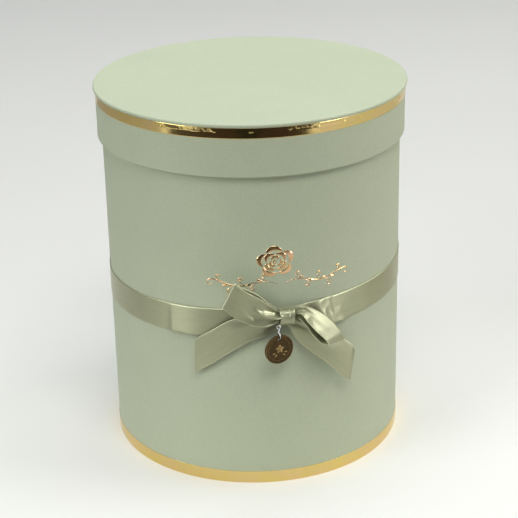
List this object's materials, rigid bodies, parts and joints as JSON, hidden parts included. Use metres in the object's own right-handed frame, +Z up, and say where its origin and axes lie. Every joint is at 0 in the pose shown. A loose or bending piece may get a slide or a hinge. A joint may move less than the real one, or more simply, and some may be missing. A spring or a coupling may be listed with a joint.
{
  "type": "flower box",
  "caption": "Round lidded flower box in paper-wrapped board, with foil bands, a ribbon tied in a bow and a small hanging charm.",
  "frame": {"origin": "middle of the foot, on the surface the box stands on", "axes": "+Z up along the box's axis; the bow is tied at -Y"},
  "size_m": [0.2088, 0.2256, 0.252],
  "materials": {
    "sage_paper": "matte, finely textured",
    "liner_paper": "matte",
    "greyboard": "raw board",
    "gold_foil": "mirror-bright metallised foil",
    "satin_ribbon": "satin",
    "antique_bronze": "antiqued, satin",
    "silver_wire": "bright"
  },
  "bodies": {
    "box": {"body_tube": "greyboard", "body_wrap": "sage_paper", "body_liner": "liner_paper", "base_board": "greyboard", "base_cover_outer": "sage_paper", "base_cover_inner": "liner_paper", "base_foil_band": "gold_foil", "ribbon_band": "satin_ribbon", "bow_knot": "satin_ribbon", "bow_loop_left": "satin_ribbon", "bow_loop_right": "satin_ribbon", "bow_tail_left": "satin_ribbon", "bow_tail_right": "satin_ribbon"},
    "lid": {"lid_ring": "greyboard", "lid_wrap": "sage_paper", "lid_liner": "liner_paper", "lid_top_board": "greyboard", "lid_top_cover": "sage_paper", "lid_inner_cover": "liner_paper", "lid_foil_band": "gold_foil"},
    "hanger": {"charm_hanger": "silver_wire"},
    "charm": {"charm_disc": "antique_bronze"}
  },
  "joints": [
    {"name": "lid_lift", "type": "slide", "parent": "box", "child": "lid", "axis": [0, 0, 1], "range_m": [0, 0.2]},
    {"name": "hanger_swing", "type": "hinge", "parent": "box", "child": "hanger", "pos_m": [-0.006, -0.10913, 0.11879], "axis": [0, 1, 0], "range_deg": [-20, 40]},
    {"name": "charm_tilt", "type": "hinge", "parent": "hanger", "child": "charm", "pos_m": [-0.006, -0.10913, 0.11279], "axis": [-0.9659, -0.2588, 0], "range_deg": [-4, 80]}
  ]
}
